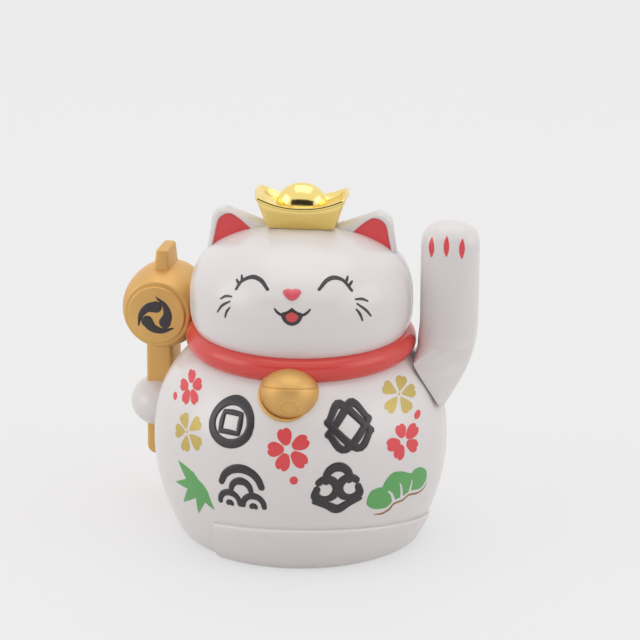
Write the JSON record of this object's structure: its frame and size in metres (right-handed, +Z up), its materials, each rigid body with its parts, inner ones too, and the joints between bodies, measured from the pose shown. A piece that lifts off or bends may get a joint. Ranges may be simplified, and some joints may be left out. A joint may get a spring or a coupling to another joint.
{
  "type": "waving cat figurine",
  "caption": "Round seated lucky cat figurine with an ingot on its head, a gold mallet in one paw, a red collar with a bell and a raised paw that rocks back and forth.",
  "frame": {"origin": "centre of the base plate's underside, on the surface that the cat stands on", "axes": "+Z up; the cat faces -Y; its waving paw is on the +X side and the mallet on the -X side"},
  "size_m": [0.0856, 0.0694, 0.085],
  "materials": {
    "white_shell": "glossy injection-moulded white plastic with printed decoration",
    "base_plastic": "moulded white plastic, satin underside",
    "red_collar": "glossy red plastic",
    "satin_gold": "plastic with satin metallic gold paint",
    "plated_gold": "plastic with a mirror-like gold plating",
    "steel": "bright steel",
    "ivory_plastic": "plain moulded plastic",
    "magnet": "sintered ferrite magnet",
    "black_plastic": "black moulded plastic",
    "copper_wire": "enamelled copper wire",
    "green_board": "fibreglass board with green solder mask",
    "capacitor_sleeve": "plastic sleeve over an aluminium can",
    "clear_cover": "clear plastic",
    "solar_glass": "dark solar cell with silver fingers",
    "red_insulation": "insulated wire",
    "print_red": "red pad-printed ink",
    "print_gold": "gold pad-printed ink",
    "print_green": "green pad-printed ink",
    "print_black": "black pad-printed ink",
    "enamel_pink": "glossy pink enamel"
  },
  "bodies": {
    "figure": {"body_front": "white_shell", "body_back": "white_shell", "head_front": "white_shell", "head_back": "white_shell", "collar": "red_collar", "bell": "satin_gold", "ingot": "plated_gold", "mallet_barrel": "satin_gold", "mallet_handle": "satin_gold", "holding_paw": "white_shell", "pivot_frame": "ivory_plastic", "frame_screws": "steel", "coil_bobbin": "black_plastic", "coil_winding": "copper_wire", "circuit_board": "green_board", "board_screws": "steel", "capacitor": "capacitor_sleeve", "drive_chip": "black_plastic", "solar_frame": "black_plastic", "solar_cover": "clear_cover", "solar_cell": "solar_glass", "solar_leads": "red_insulation", "base_plate": "base_plastic", "base_screws": "steel"},
    "waving_arm": {"arm_front": "white_shell", "arm_back": "white_shell", "pivot_shaft": "steel", "pendulum": "ivory_plastic", "pendulum_magnet": "magnet"}
  },
  "joints": [
    {"name": "arm_wave", "type": "hinge", "parent": "figure", "child": "waving_arm", "pos_m": [0.02956, 0, 0.0392], "axis": [0.8348, 0, 0.5505], "range_deg": [-16, 16]}
  ]
}
